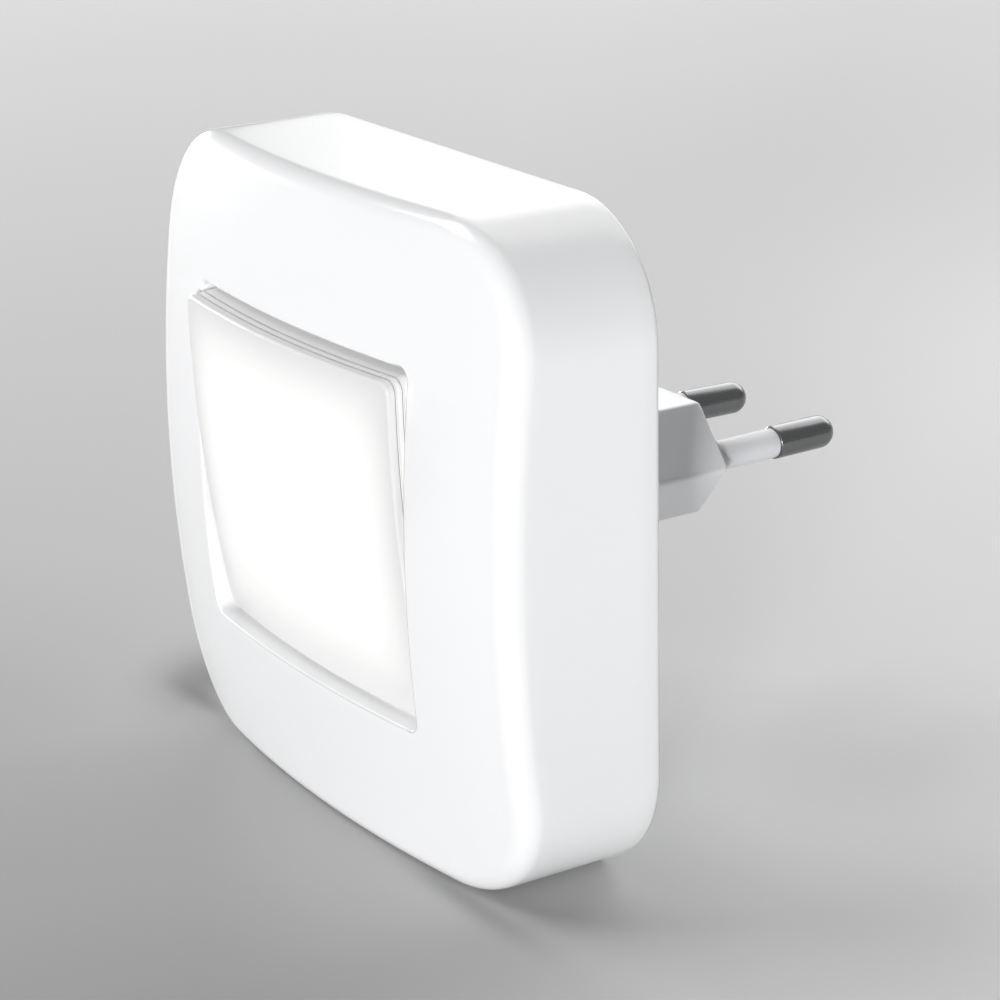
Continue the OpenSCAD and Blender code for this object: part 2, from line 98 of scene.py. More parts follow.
# ---------------------------------------------------------------- curves
def outline(corners, r, arc=20, side=24):
    """A convex polygon, given anticlockwise, with every corner rounded to r. Each corner becomes an arc: the
    point that lies r inside both of its sides, plus r along a direction that turns from one side's outward
    normal to the next. Straight runs join the arcs. Gives the points and their outward directions."""
    c = np.asarray(corners, float)
    along = np.roll(c, -1, 0) - c
    along /= np.linalg.norm(along, axis=1)[:, None]
    out = np.stack([along[:, 1], -along[:, 0]], 1)
    before = np.roll(out, 1, 0)
    inner = c - r * (before + out) / (1 + (before * out).sum(1))[:, None]
    a = np.arctan2(before[:, 1], before[:, 0])
    turn = (np.arctan2(out[:, 1], out[:, 0]) - a) % (2 * np.pi)
    t = np.linspace(0, 1, arc + 1)
    angle = a[:, None] + turn[:, None] * t
    way = np.stack([np.cos(angle), np.sin(angle)], 2)
    arcs = inner[:, None] + r * way
    s = np.linspace(0, 1, side + 1)[1:-1, None]
    runs = arcs[:, -1:] * (1 - s) + np.roll(arcs[:, 0], -1, 0)[:, None] * s
    ways = np.repeat(way[:, -1:], side - 1, 1)
    return (np.concatenate([arcs, runs], 1).reshape(-1, 2),
            np.concatenate([way, ways], 1).reshape(-1, 2))


def rectangle(w, h, z=0.0):
    """The corners of an upright rectangle whose middle lies at height z."""
    return [(w / 2, z - h / 2), (w / 2, z + h / 2), (-w / 2, z + h / 2), (-w / 2, z - h / 2)]


def hexagon(inset):
    """The corners of the plug body's section, moved inwards by inset square to every side."""
    slope = (PLUG_W - PLUG_FLAT) / PLUG_H
    half = PLUG_W / 2 - inset * math.hypot(1, slope)
    tall = PLUG_H / 2 - inset
    flat = half - tall * slope
    return [(half, 0), (flat, tall), (-flat, tall), (-half, 0), (-flat, -tall), (flat, -tall)]


def ring(xz, y):
    """Lifts a flat outline in X and Z to depth y, one value or one for each point."""
    return np.stack([xz[:, 0], np.broadcast_to(y, len(xz)), xz[:, 1]], 1)


def pole(y, x=0.0, z=0.0):
    """A ring of one point, where a skin closes."""
    return np.array([[x, y, z]])


def four_places(x, z, middle):
    """Four places that lie x to either side and z above and below a middle height."""
    return [(sx * x, middle + sz * z) for sx in (-1, 1) for sz in (-1, 1)]


def flat_way(way):
    """Directions in X and Z as directions in space."""
    return ring(way, 0.0)


def dome_y(xz, crown, radius, inward, z):
    """Depth of a sphere of that radius, less inward, whose own crown lies at crown and height z."""
    return crown + radius - np.sqrt((radius - inward) ** 2 - xz[:, 0] ** 2 - (xz[:, 1] - z) ** 2)


def shoulder(xz):
    """How much the front lies behind its dome beside the opening. It grows with the square of the way from
    SHOULDER_X to the side."""
    way = np.maximum(np.abs(xz[:, 0]) - SHOULDER_X, 0) / (HOUSING_W / 2 - SHOULDER_X)
    return SHOULDER * way ** 2


def blend(a, b, t):
    """The direction that lies the share t of the way from a to b along the great circle between them."""
    angle = np.arccos(np.clip((a * b).sum(1), -1, 1))[:, None]
    return (np.sin((1 - t) * angle) * a + np.sin(t * angle) * b) / np.sin(angle)


def rolled(centre, a, b, r, steps):
    """The rings that a ball of radius r, one value or one for each point, leaves as its contact rolls from
    direction a to direction b."""
    return [centre + r * blend(a, b, t) for t in np.linspace(0, 1, steps + 1)]


def between(first, last, steps):
    """The rings that lie evenly between two rings, without those two."""
    return [first + (last - first) * t for t in np.linspace(0, 1, steps + 1)[1:-1]]


def towards(points, centre):
    """Unit directions from a centre to points."""
    d = points - centre
    return d / np.linalg.norm(d, axis=1)[:, None]


# ---------------------------------------------------------------- surfaces
def skin(rings, wrap=False):
    """Joins rings of points, each to the next, into one surface. A ring of one point is a pole, and wrap
    joins the last ring to the first. The sign of the enclosed volume turns the faces outwards."""
    points = np.concatenate(rings)
    starts = np.cumsum([0] + [len(r) for r in rings[:-1]])
    pairs = [(k, k + 1) for k in range(len(rings) - 1)] + ([(len(rings) - 1, 0)] if wrap else [])
    faces = []
    for k, m in pairs:
        n = max(len(rings[k]), len(rings[m]))
        i = np.arange(n)
        j = (i + 1) % n
        a, b = starts[k] + i % len(rings[k]), starts[k] + j % len(rings[k])
        c, d = starts[m] + j % len(rings[m]), starts[m] + i % len(rings[m])
        if len(rings[k]) == 1:
            faces += np.stack([a, c, d], 1).tolist()
        elif len(rings[m]) == 1:
            faces += np.stack([a, b, c], 1).tolist()
        else:
            faces += np.stack([a, b, c, d], 1).tolist()
    tri = np.array([(f[0], f[1], f[2]) for f in faces] + [(f[0], f[2], f[3]) for f in faces if len(f) == 4])
    p = points[tri] - points.mean(0)
    volume = (p[:, 0] * np.cross(p[:, 1], p[:, 2])).sum()
    return points, faces if volume > 0 else [f[::-1] for f in faces]


def turned(profile, steps=48):
    """Turns a profile of (distance along Y, radius) pairs about the Y axis. A radius of zero is a pole."""
    angle = np.arange(steps) * 2 * np.pi / steps
    around = np.stack([np.cos(angle), np.sin(angle)], 1)
    return [ring(around * r, s) if r > 0 else pole(s) for s, r in profile]


def fillet(s, r, radius, start, end, steps=5):
    """Points of a profile on a small arc about (s, r), from angle start to angle end in degrees, where 0
    points along Y."""
    t = np.radians(np.linspace(start, end, steps + 1))
    return list(zip(s + radius * np.cos(t), r + radius * np.sin(t)))


def moved(part, offset):
    """Shifts a part by an offset."""
    points, faces = part
    return points + np.asarray(offset, float), faces


def leaning(part, side):
    """Places a turned part on a pin's axis, which starts beside the middle and leans towards it."""
    points, faces = part
    a = side * PIN_LEAN
    x = points[:, 0] * math.cos(a) - points[:, 1] * math.sin(a) + side * PIN_X
    y = points[:, 0] * math.sin(a) + points[:, 1] * math.cos(a)
    return np.stack([x, y, points[:, 2]], 1), faces


def tipped(part):
    """Places a part of the rocker on its axis, tipped as it rests with its foot pressed in."""
    points, faces = part
    y = points[:, 1] * math.cos(TILT) - points[:, 2] * math.sin(TILT) + Y_AXIS
    z = points[:, 1] * math.sin(TILT) + points[:, 2] * math.cos(TILT) + Z_OPEN
    return np.stack([points[:, 0], y, z], 1), faces


def piece(name, parts, body, material, stands_for=(), sharp=35, weld=False):
    """Puts parts into one mesh, smooth but for edges over the sharp angle, which rides on a body. Weld joins
    parts that share their edges."""
    points, faces, start = [], [], 0
    for p, f in parts:
        points.append(p * MM)
        faces += [[i + start for i in face] for face in f]
        start += len(p)
    mesh = bpy.data.meshes.new(name)
    mesh.from_pydata(np.concatenate(points).tolist(), [], faces)
    if weld:
        bm = bmesh.new()
        bm.from_mesh(mesh)
        bmesh.ops.remove_doubles(bm, verts=bm.verts, dist=1e-7)
        bmesh.ops.recalc_face_normals(bm, faces=bm.faces)
        bm.to_mesh(mesh)
        bm.free()
    mesh.shade_smooth()
    mesh.set_sharp_from_angle(angle=math.radians(sharp))
    mesh.materials.append(material)
    made = bpy.data.objects.new(name, mesh)
    bpy.context.scene.collection.objects.link(made)
    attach(made, body)
    if stands_for:
        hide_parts(*stands_for)


# ---------------------------------------------------------------- finishes
class Value:
    """A number that varies over a surface. Sums written with it add Math nodes to its finish."""

    def __init__(self, finish, socket):
        self.finish, self.socket = finish, socket

    def maths(self, operation, *values):
        return self.finish.node("ShaderNodeMath", {"operation": operation}, dict(enumerate(values)))

    def __add__(self, other):
        return self.maths("ADD", self, other)

    __radd__ = __add__

    def __sub__(self, other):
        return self.maths("SUBTRACT", self, other)

    def __rsub__(self, other):
        return self.maths("SUBTRACT", other, self)

    def __mul__(self, other):
        return self.maths("MULTIPLY", self, other)

    __rmul__ = __mul__

    def __truediv__(self, other):
        return self.maths("DIVIDE", self, other)

    def __pow__(self, other):
        return self.maths("POWER", self, other)

    def size(self):
        return self.maths("ABSOLUTE", self)

    def exp(self):
        return self.maths("EXPONENT", self)

    def tanh(self):
        return self.maths("TANH", self)

    def most(self, other):
        return self.maths("MAXIMUM", self, other)

    def least(self, other):
        return self.maths("MINIMUM", self, other)

    def held(self):
        """Kept between 0 and 1."""
        return self.most(0.0).least(1.0)


class Finish:
    """One material: a Principled shader, and the nodes that vary its colour, roughness and relief."""

    def __init__(self, name, **numbers):
        self.material = bpy.data.materials.new(name)
        self.material.use_nodes = True
        self.tree = self.material.node_tree
        self.shader = self.tree.nodes["Principled BSDF"]
        for socket, number in numbers.items():
            self.shader.inputs[socket.replace("_", " ")].default_value = number
        self.place = self.node("ShaderNodeTexCoord", out="Object")

    def node(self, kind, settings=None, inputs=None, out=0):
        """Makes a node with its settings and inputs, and gives one of its outputs."""
        made = self.tree.nodes.new(kind)
        for name, setting in (settings or {}).items():
            setattr(made, name, setting)
        for name, value in (inputs or {}).items():
            self.feed(made.inputs[name], value)
        return Value(self, made.outputs[out])

    def feed(self, socket, value):
        """Links a value that varies to a socket, or sets a plain one."""
        if isinstance(value, Value):
            self.tree.links.new(value.socket, socket)
        else:
            socket.default_value = value

    def axes(self):
        """X, Y and Z of the place on the object, in millimetres."""
        split = self.node("ShaderNodeSeparateXYZ", inputs={0: self.place})
        outs = split.socket.node.outputs
        return [Value(self, outs[i]) * 1000.0 for i in range(3)]

    def noise(self, scale, detail=2.0, stretch=(1, 1, 1)):
        """Cloudy values from 0 to 1, scale of them to a metre, drawn out along an axis whose stretch is
        small."""
        place = self.node("ShaderNodeMapping", inputs={"Vector": self.place, "Scale": stretch})
        return self.node("ShaderNodeTexNoise", inputs={"Vector": place, "Scale": scale, "Detail": detail})

    def mix(self, share, a, b):
        """The colour that lies share of the way from a to b. The node has a set of sockets for each kind of
        value, and these are the ones for colours."""
        made = self.tree.nodes.new("ShaderNodeMix")
        made.data_type = "RGBA"
        self.feed(made.inputs[0], share)
        for socket, colour in ((made.inputs[6], a), (made.inputs[7], b)):
            self.feed(socket, colour if isinstance(colour, Value) else (*colour, 1))
        return Value(self, made.outputs[2])

    def hill(self, value, middle, width):
        """A smooth hill over a value: e^(-((value - middle) / width)^2)."""
        off = (value - middle) / width
        return (off * off * -1.0).exp()

    def spot(self, first, second):
        """A smooth hill over two values, each given with its middle and width."""
        return self.hill(*first) * self.hill(*second)

    def relief(self, height, depth):
        """Lets a height from 0 to 1 stand out by up to depth, in millimetres."""
        bump = self.node("ShaderNodeBump", inputs={"Height": height, "Distance": depth * MM, "Strength": 1.0})
        self.feed(self.shader.inputs["Normal"], bump)

    def give(self, **values):
        """Feeds values to the shader's sockets of those names."""
        for socket, value in values.items():
            self.feed(self.shader.inputs[socket.replace("_", " ")], value)


def grey(level):
    """A colour without a hue."""
    return level, level, level


def moulded(name, colour, rough, depth=0.004, shift=0.03, crease_shade=None, **numbers):
    """Moulded plastic: faint clouds in its colour and gloss, and a fine grain left by the mould. Where crease
    is given, it is a mask of painted shade that darkens the plastic along a sharp edge."""
    f = Finish(name, **numbers)
    cloud = f.noise(60.0)
    fine = f.noise(2700.0, 3.0)
    tint = f.mix(cloud, tuple(c * (1 - shift) for c in colour), colour)
    # Painted shade: the crease mask darkens the colour along a sharp edge.
    if crease_shade:
        tint = f.mix(crease_shade(f), tint, tuple(c * 0.4 for c in colour))
    f.give(Base_Color=tint, Roughness=rough + (fine - 0.5) * 0.08 + (cloud - 0.5) * 0.05)
    f.relief(fine, depth)
    return f.material


def painted_lip_shade(f):
    """A thin line of painted shade along the right side of the opening, and fainter along its foot. The
    distance from the opening's rounded outline is the length of (qx, qz) less the corner's radius, where qx
    and qz say how far a place lies beyond the corner's centre."""
    line_at, line_half_w, foot_share = 0.2, 0.15, 0.45
    x, _, z = f.axes()
    up = z - Z_OPEN
    qx = (x.size() - (OPENING_W / 2 - OPENING_R)).most(0.0)
    qz = (up.size() - (OPENING_H / 2 - OPENING_R)).most(0.0)
    off = (qx * qx + qz * qz) ** 0.5 - OPENING_R
    at_right, at_foot = ((x - 20.0) / 2.5).held(), ((up + 15.0) / -4.0).held()
    # Painted shade: a dark line that hugs the opening's edge.
    line = (1.0 - ((off - line_at) / line_half_w).size()).held()
    return line * at_right.most(at_foot * foot_share)


def bright_metal(name, colour, rough):
    """Plated metal: fine marks drawn out along the pin, and slow changes in the plating."""
    f = Finish(name, Metallic=1.0)
    marks = f.noise(9000.0, 3.0, (1, 0.05, 1))
    slow = f.noise(250.0)
    darker = tuple(c * 0.86 for c in colour)
    f.give(Base_Color=f.mix(slow, darker, colour),
           Roughness=rough + (marks - 0.5) * 0.1 + (slow - 0.5) * 0.06)
    f.relief(marks, 0.003)
    return f.material


def lit_panel(name):
    """The glowing window. Its glow is strongest in the middle and falls to nothing at its four edges, as
    (1 - u^6)(1 - v^4), where u and v run from 0 in the middle to 1 at an edge. Behind the thin lens the sides
    are whiter, and more light seeps out of them towards the foot. The two grooves carry painted shade: a
    darker colour, and no glow."""
    middle_glow, side_glow, frame_glow, foot_glow, groove_shade_half_w = 0.34, 0.1, 0.2, 0.62, 0.22
    f = Finish(name, IOR=1.49, Emission_Strength=1.0)
    x, y, z = f.axes()
    u = (x / (PANEL_W / 2)).size()
    up = (z - Z_OPEN) * math.cos(TILT) - (y - Y_AXIS) * math.sin(TILT)
    back = (y - Y_AXIS) * math.cos(TILT) + (z - Z_OPEN) * math.sin(TILT)
    v = (up / (PANEL_H / 2)).size()
    deep = back - PANEL_FRONT - (x * x + up * up) / (2 * DOME_R)
    face = 1.0 - deep.held()
    framed = ((deep - LENS_T) * 4.0).held()
    foot = (up / (PANEL_H / -2) * 12.0 - 11.0).held()
    glow = ((1.0 - u ** 6.0) * (1.0 - v ** 4.0)).held() * face * middle_glow + (1.0 - face) * side_glow
    glow = glow + framed * ((0.5 - up / PANEL_H).held() * frame_glow + foot * foot_glow)
    # Painted shade: the two grooves are drawn darker, in colour and in glow.
    first, second = ((deep - start - GROOVE_W / 2) / groove_shade_half_w for start in GROOVES)
    groove_shade = (1.0 - first.size()).most(1.0 - second.size()).held()
    glow = glow * (1.0 - groove_shade)
    tint = f.mix(framed, grey(0.73), grey(0.84))
    fine = f.noise(2500.0, 2.0)
    # The grooves' darker grey is painted shade.
    f.give(Base_Color=f.mix(groove_shade, tint, grey(0.58)), Roughness=0.3 + (fine - 0.5) * 0.05,
           Emission_Color=f.mix(glow, grey(0.0), (1.0, 0.99, 0.965)))
    f.relief(fine, 0.001)
    return f.material


# The housing's white carries a line of painted shade along the opening's lip.
white = moulded("gloss_white", (0.885, 0.89, 0.9), 0.2, depth=0.0004, shift=0.008, crease_shade=painted_lip_shade, IOR=1.6)
plug_white = moulded("satin_white", (0.86, 0.87, 0.885), 0.3, depth=0.0008, shift=0.01, IOR=1.5)
sleeve_white = moulded("sleeve_white", (0.72, 0.73, 0.75), 0.4, depth=0.0008, shift=0.01)
opal = lit_panel("lit_opal")
nickel = bright_metal("dark_nickel", (0.22, 0.223, 0.227), 0.26)
steel = bright_metal("zinc_steel", (0.55, 0.56, 0.58), 0.3)
# The pieces inside are drawn as they come, each with its own finish
INSIDE = {
    "pin_carrier": moulded("carrier_grey", (0.16, 0.165, 0.17), 0.5, shift=0.1),
    "lead_live": moulded("wire_brown", (0.17, 0.07, 0.03), 0.45, shift=0.1),
    "lead_neutral": moulded("wire_blue", (0.03, 0.12, 0.45), 0.45, shift=0.1),
    "pivot_pins": steel,
    "light_box": moulded("box_white", (0.85, 0.86, 0.87), 0.35, shift=0.02),
    "light_box_screws": steel,
    "led_board": moulded("board_white", (0.78, 0.79, 0.78), 0.3, shift=0.04),
    "leds": moulded("lamp_yellow", (0.85, 0.62, 0.1), 0.4, shift=0.12),
    "led_leads": moulded("wire_red", (0.55, 0.03, 0.02), 0.45, shift=0.1),
    "main_board": moulded("board_green", (0.02, 0.16, 0.07), 0.3, shift=0.2),
    "board_screws": steel,
    "film_capacitor": moulded("film_yellow", (0.75, 0.42, 0.03), 0.35, shift=0.08),
    "electrolytic_capacitor": moulded("can_blue", (0.02, 0.04, 0.16), 0.3, shift=0.1),
    "bridge_rectifier": moulded("chip_black", (0.02, 0.02, 0.022), 0.5, shift=0.2),
    "varistor": moulded("varistor_blue", (0.04, 0.15, 0.5), 0.4, shift=0.12),
    "resistors": moulded("resistor_tan", (0.55, 0.36, 0.2), 0.45, shift=0.1),
    "fuse_resistor": moulded("fuse_green", (0.1, 0.3, 0.16), 0.45, shift=0.1),
    "slide_switch_body": moulded("switch_grey", (0.12, 0.12, 0.125), 0.4, shift=0.1),
    "slide_switch_knob": moulded("knob_black", (0.02, 0.02, 0.02), 0.35, shift=0.1),
    "slide_switch_tabs": bright_metal("tin", (0.6, 0.6, 0.58), 0.35),
}
for node_name, material in INSIDE.items():
    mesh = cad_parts[node_name].data
    mesh.materials.clear()
    mesh.materials.append(material)


# ---------------------------------------------------------------- front cover
def front_cover():
    """One closed skin carried round the outline: back edge, side wall, rolled front edge, dome, rolled edge
    of the opening, the collar behind it, the inside of the dome and the inner wall. The front edge's radius
    goes with the outward direction (ox, oz) as SIDE_EDGE ox^2 + TOP_EDGE oz^2."""
    at = lambda w, h, r, z=Z_HOUSE: outline(rectangle(w, h, z), r)
    dome_middle = np.array([0.0, Y_CROWN + DOME_R, Z_HOUSE])
    inset = lambda d: at(HOUSING_W - 2 * d, HOUSING_H - 2 * d, CORNER_R - d)
    side, out = inset(0.0)
    out = flat_way(out)
    inner = inset(WALL)[0]
    rings = [ring(inner, Y_BACK)]
    back = ring(inset(BACK_EDGE)[0], Y_BACK - BACK_EDGE)
    rings += rolled(back, out * 0 + [0.0, 1.0, 0.0], out, BACK_EDGE, 5)
    edge = SIDE_EDGE * out[:, 0] ** 2 + TOP_EDGE * out[:, 2] ** 2
    roll_xz = side - edge[:, None] * out[:, [0, 2]]
    roll = ring(roll_xz, dome_y(roll_xz, Y_CROWN, DOME_R, edge, Z_HOUSE) + shoulder(roll_xz))
    ahead = towards(roll, dome_middle)
    rings += between(rings[-1], roll + edge[:, None] * out, 8)
    rings += rolled(roll, out, ahead, edge[:, None], 16)
    hole = lambda d: at(OPENING_W + 2 * d, OPENING_H + 2 * d, OPENING_R + d, Z_OPEN)
    lip_xz, lip_out = hole(OPENING_EDGE)
    lip = ring(lip_xz, dome_y(lip_xz, Y_CROWN, DOME_R, OPENING_EDGE, Z_HOUSE))
    lip_ahead = towards(lip, dome_middle)
    lip_edge = rolled(lip, lip_ahead, -flat_way(lip_out), OPENING_EDGE, 5)
    for step in between(rings[-1], lip_edge[0], 26):
        xz = step[:, [0, 2]]
        rings.append(ring(xz, dome_y(xz, Y_CROWN, DOME_R, 0.0, Z_HOUSE) + shoulder(xz)))
    rings += lip_edge
    wall = ring(hole(0.0)[0], Y_RIM)
    rings += between(rings[-1], wall, 6) + [wall]
    collar = hole(RIM_T)[0]
    rings += [ring(collar, Y_RIM), ring(collar, dome_y(collar, Y_CROWN, DOME_R, WALL, Z_HOUSE))]
    under = ring(inner, dome_y(inner, Y_CROWN, DOME_R, WALL, Z_HOUSE))
    for step in between(rings[-1], under, 6):
        rings.append(ring(step[:, [0, 2]], dome_y(step[:, [0, 2]], Y_CROWN, DOME_R, WALL, Z_HOUSE)))
    rings.append(under)
    return skin(rings, wrap=True)


def tube(x, z, outer, inner, front, back):
    """A round boss along Y with a bore through it."""
    profile = [(front, inner), (front, outer), (back, outer), (back, inner)]
    return moved(skin(turned(profile), wrap=True), (x, 0, z))


SCREW_PLACES = four_places(SCREW_X, SCREW_Z, Z_HOUSE)
piece("front_cover_shell", [front_cover()], "housing", white, ["front_cover"], sharp=30)
piece("front_cover_bosses",
      [tube(x, z, BOSS_R, BOSS_BORE_R, Y_CROWN + BOSS_BEHIND, Y_PLATE) for x, z in SCREW_PLACES]
      + [tube(x, z, BOX_BOSS_R, SMALL_BORE_R, Y_CROWN + BOX_BOSS_BEHIND, Y_RIM)
         for x, z in four_places(BOX_BOSS_X, BOX_BOSS_Z, Z_OPEN)],
      "housing", white)


# ---------------------------------------------------------------- rocker panel
def rocker_shell():
    """A closed skin that grows from the middle of the domed face to its rolled edge, runs back along the
    sides over two fine grooves, the bead between them and the skirt, turns round its foot and closes again
    under the face."""
    at = lambda d, r: outline(rectangle(PANEL_W - 2 * d, PANEL_H - 2 * d), r)
    middle = np.array([0.0, PANEL_FRONT + DOME_R, 0.0])
    roll_xz, out = at(PANEL_EDGE, PANEL_R - PANEL_EDGE)
    out = flat_way(out)
    roll = ring(roll_xz, dome_y(roll_xz, PANEL_FRONT, DOME_R, PANEL_EDGE, 0.0))
    edge = rolled(roll, towards(roll, middle), out, PANEL_EDGE, 6)
    rings = [pole(PANEL_FRONT)]
    for share in np.linspace(0, 1, 19)[1:-1]:
        xz = edge[0][:, [0, 2]] * share
        rings.append(ring(xz, dome_y(xz, PANEL_FRONT, DOME_R, 0.0, 0.0)))
    rings += edge
    outer, inner = at(0.0, PANEL_R)[0], at(SKIRT_T, SKIRT_R)[0]
    deep = at(GROOVE_DEEP, PANEL_R - GROOVE_DEEP)[0]
    for start in GROOVES:
        near = edge[-1][:, 1] - PANEL_EDGE + start
        far = near + GROOVE_W
        rings += [ring(outer, near), ring(deep, near), ring(deep, far), ring(outer, far)]
    rings += [ring(outer, PANEL_BACK), ring(inner, PANEL_BACK)]
    for share in np.linspace(1, 0, 9)[:-1]:
        xz = inner * share
        rings.append(ring(xz, dome_y(xz, PANEL_FRONT, DOME_R, PANEL_T, 0.0)))
    rings.append(pole(PANEL_FRONT + PANEL_T))
    return tipped(skin(rings))


def block(x0, x1, y0, y1, z0, z1):
    """A block between two corners, with the edges that run along Y rounded."""
    xz = outline([(x1, z0), (x1, z1), (x0, z1), (x0, z0)], FORK_EDGE, 3, 2)[0]
    mid = (x0 + x1) / 2, (z0 + z1) / 2
    return skin([pole(y0, *mid), ring(xz, y0), ring(xz, y1), pole(y1, *mid)])


def rod_across(x0, x1, r):
    """A round rod along X."""
    points, faces = skin(turned([(x0, 0), (x0, r), (x1, r), (x1, 0)], 32))
    return points[:, [1, 0, 2]] * [1, -1, 1], faces


piece("rocker_panel_shell", [rocker_shell()], "rocker", opal, ["rocker_panel"], sharp=40)
piece("rocker_panel_fork",
      [tipped(block(FORK_X0, FORK_X1, FORK_ROOT, FORK_CROTCH, -FORK_HALF_H, FORK_HALF_H)),
       tipped(block(FORK_X0, FORK_X1, FORK_CROTCH, FORK_TIP, -FORK_HALF_H, -FORK_GAP)),
       tipped(block(FORK_X0, FORK_X1, FORK_CROTCH, FORK_TIP, FORK_GAP, FORK_HALF_H)),
       tipped(rod_across(HUB_X0, HUB_X1, HUB_R)), tipped(rod_across(-HUB_X1, -HUB_X0, HUB_R))],
      "rocker", sleeve_white)


# ---------------------------------------------------------------- rear cover
def sheet(loops, holes, y):
    """A flat face at depth y: the triangles that join all the loops, less those whose middle a hole holds."""
    points = np.concatenate(loops)
    edges, start = [], 0
    for loop in loops:
        i = np.arange(len(loop))
        edges += np.stack([start + i, start + (i + 1) % len(loop)], 1).tolist()
        start += len(loop)
    made = delaunay_2d_cdt([Vector(p) for p in points], edges, [], 0, 1e-6)
    flat = np.array([tuple(v) for v in made[0]])
    tri = np.array([f for f in made[2]])
    mid = flat[tri].mean(1)
    kept = np.ones(len(tri), bool)
    for hole in holes:
        kept &= ~hole(mid)
    return ring(flat, y), tri[kept].tolist()


def circle(x, z, r, steps=48):
    """Points on a circle in X and Z."""
    a = np.arange(steps) * 2 * np.pi / steps
    return np.stack([x + r * np.cos(a), z + r * np.sin(a)], 1)


def in_circle(x, z, r):
    """True inside a circle."""
    return lambda p: np.hypot(p[:, 0] - x, p[:, 1] - z) < r


def in_hexagon(inset):
    """True inside the plug body's section: nearer the middle than each of its sides."""
    c = np.array(hexagon(inset))
    d = np.roll(c, -1, 0) - c
    return lambda p: ((d[:, 0] * (p[:, None, 1] - c[:, 1]) - d[:, 1] * (p[:, None, 0] - c[:, 0])) > 0).all(1)


def rear_cover():
    """The back plate, its four screw holes and the hollow plug body, as flat faces and rings that share their
    edges."""
    w, h = HOUSING_W - 2 * WALL - 2 * PLATE_GAP, HOUSING_H - 2 * WALL - 2 * PLATE_GAP
    corner = CORNER_R - WALL - PLATE_GAP
    rim = lambda d: outline(rectangle(w - 2 * d, h - 2 * d, Z_HOUSE), corner - d)
    out = flat_way(rim(0.0)[1])
    ahead = out * 0 - [0.0, 1.0, 0.0]
    centre = lambda y: ring(rim(PLATE_EDGE)[0], y)
    sides = rolled(centre(Y_BACK - PLATE_EDGE), -ahead, out, PLATE_EDGE, 4)
    sides += rolled(centre(Y_PLATE + PLATE_EDGE), out, ahead, PLATE_EDGE, 4)
    plug, plug_out = outline(hexagon(0.0), PLUG_EDGE, 8, 8)
    cavity = outline(hexagon(PLUG_WALL), CAVITY_R, 8, 8)[0]
    parts = [skin(sides)]
    for loop, inset, r, y in ((plug, 0.0, SINK_R, Y_BACK), (cavity, PLUG_WALL, SHANK_HOLE_R, Y_PLATE)):
        parts.append(sheet([rim(PLATE_EDGE)[0], loop] + [circle(*place, r) for place in SCREW_PLACES],
                           [in_hexagon(inset)] + [in_circle(*place, r) for place in SCREW_PLACES], y))
    for x, z in SCREW_PLACES:
        parts.append(skin([ring(circle(x, z, SINK_R), Y_BACK), ring(circle(x, z, SINK_R), Y_BACK - HEAD_T),
                           ring(circle(x, z, SHANK_HOLE_R), Y_BACK - HEAD_T),
                           ring(circle(x, z, SHANK_HOLE_R), Y_PLATE)]))
    end_xz = outline(hexagon(PLUG_EDGE), END_R, 8, 8)[0]
    sweep = rolled(ring(end_xz, -PLUG_EDGE), flat_way(plug_out), flat_way(plug_out) * 0 + [0.0, 1.0, 0.0],
                   PLUG_EDGE, 6)
    rings = [ring(plug, Y_BACK)] + between(ring(plug, Y_BACK), ring(plug, -PLUG_EDGE), 6)
    rings += [ring(plug, -PLUG_EDGE)] + sweep[1:]
    rings += [ring(end_xz * s, 0.0) for s in (0.8, 0.5, 0.2)] + [pole(0.0)]
    parts.append(skin(rings))
    parts.append(skin([ring(cavity, Y_PLATE), ring(cavity, -PLUG_END), pole(-PLUG_END)]))
    return parts


piece("rear_cover_shell", rear_cover(), "housing", plug_white, ["rear_cover"], sharp=30,
      weld=True)
piece("rear_cover_posts",
      [tube(x, z, POST_R, SMALL_BORE_R, Y_BOARD, Y_PLATE) for x, z in four_places(POST_X, POST_Z, Z_HOUSE)],
      "housing", plug_white)


# ---------------------------------------------------------------- pins and screws
def contact_pin(side):
    """A turned pin: a thin core that the sleeve covers, a rolled shoulder, the bare end and its round tip."""
    roll = 0.15
    profile = [(-PIN_ROOT, 0), (-PIN_ROOT, CORE_R), (BARE_START, CORE_R)]
    profile += fillet(BARE_START + roll, PIN_R - roll, roll, 180, 90)
    profile += fillet(PIN_END - PIN_R, 0.0, PIN_R, 90, 0, 16)[:-1] + [(PIN_END, 0)]
    return leaning(skin(turned(profile, 64)), side)


def sleeve(side):
    """A turned insulating sleeve with a soft-edged collar at its foot."""
    bore, foot, roll, step, lip = CORE_R + 0.02, 0.1 - PLUG_END, 0.18, 0.12, 0.1
    profile = [(foot, bore), (foot, COLLAR_R)] + fillet(COLLAR_H - roll, COLLAR_R - roll, roll, 90, 0)
    profile += [(COLLAR_H, SLEEVE_R + step), (COLLAR_H + step, SLEEVE_R)]
    profile += fillet(BARE_START - lip, SLEEVE_R - lip, lip, 90, 0, 3) + [(BARE_START, bore)]
    return leaning(skin(turned(profile, 64), wrap=True), side)


